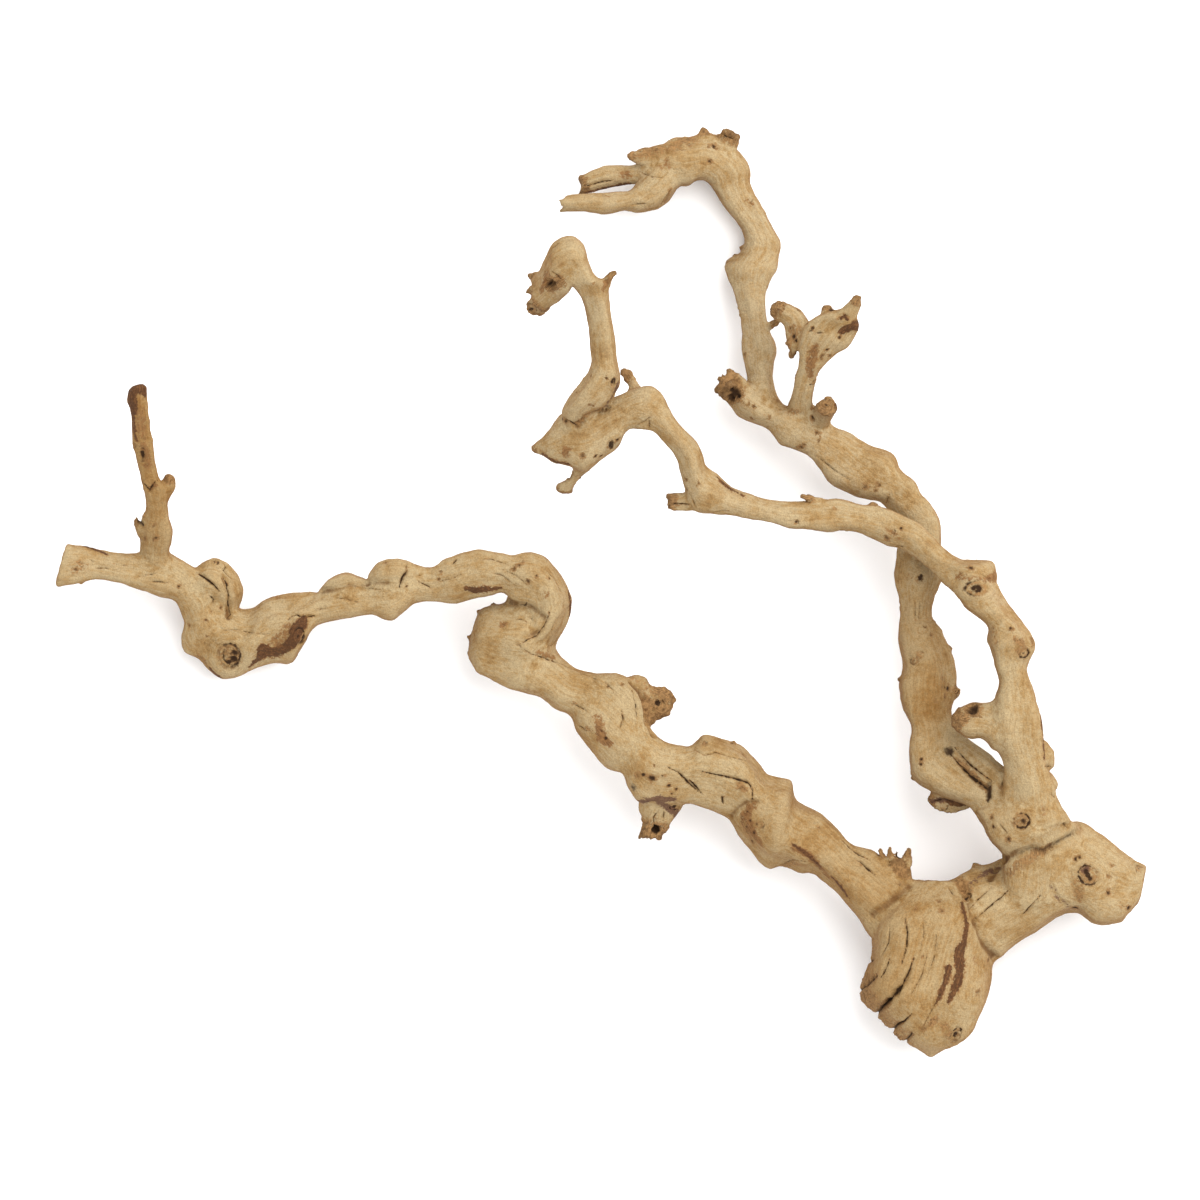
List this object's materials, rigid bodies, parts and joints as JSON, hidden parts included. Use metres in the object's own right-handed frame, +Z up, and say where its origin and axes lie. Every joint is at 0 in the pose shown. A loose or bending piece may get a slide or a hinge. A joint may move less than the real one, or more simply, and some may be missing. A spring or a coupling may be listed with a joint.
{
  "type": "sandblasted grapewood branch",
  "caption": "Twisted sandblasted grapevine limb with a thick heel, a long snaking arm and a forked stem that ends in hooked and broken stubs, lying flat.",
  "frame": {"origin": "middle of the bounding box, on the surface the limb lies on", "axes": "+X along the longest way, from the sawn arm to the short bar; +Y from the heel to the far fork; +Z up"},
  "size_m": [0.6096, 0.5202, 0.1344],
  "materials": {
    "wood": "sandblasted bare wood, matt, with traces of red-brown bark in the cracks"
  },
  "bodies": {
    "root": {"grapewood": "wood"}
  },
  "joints": []
}
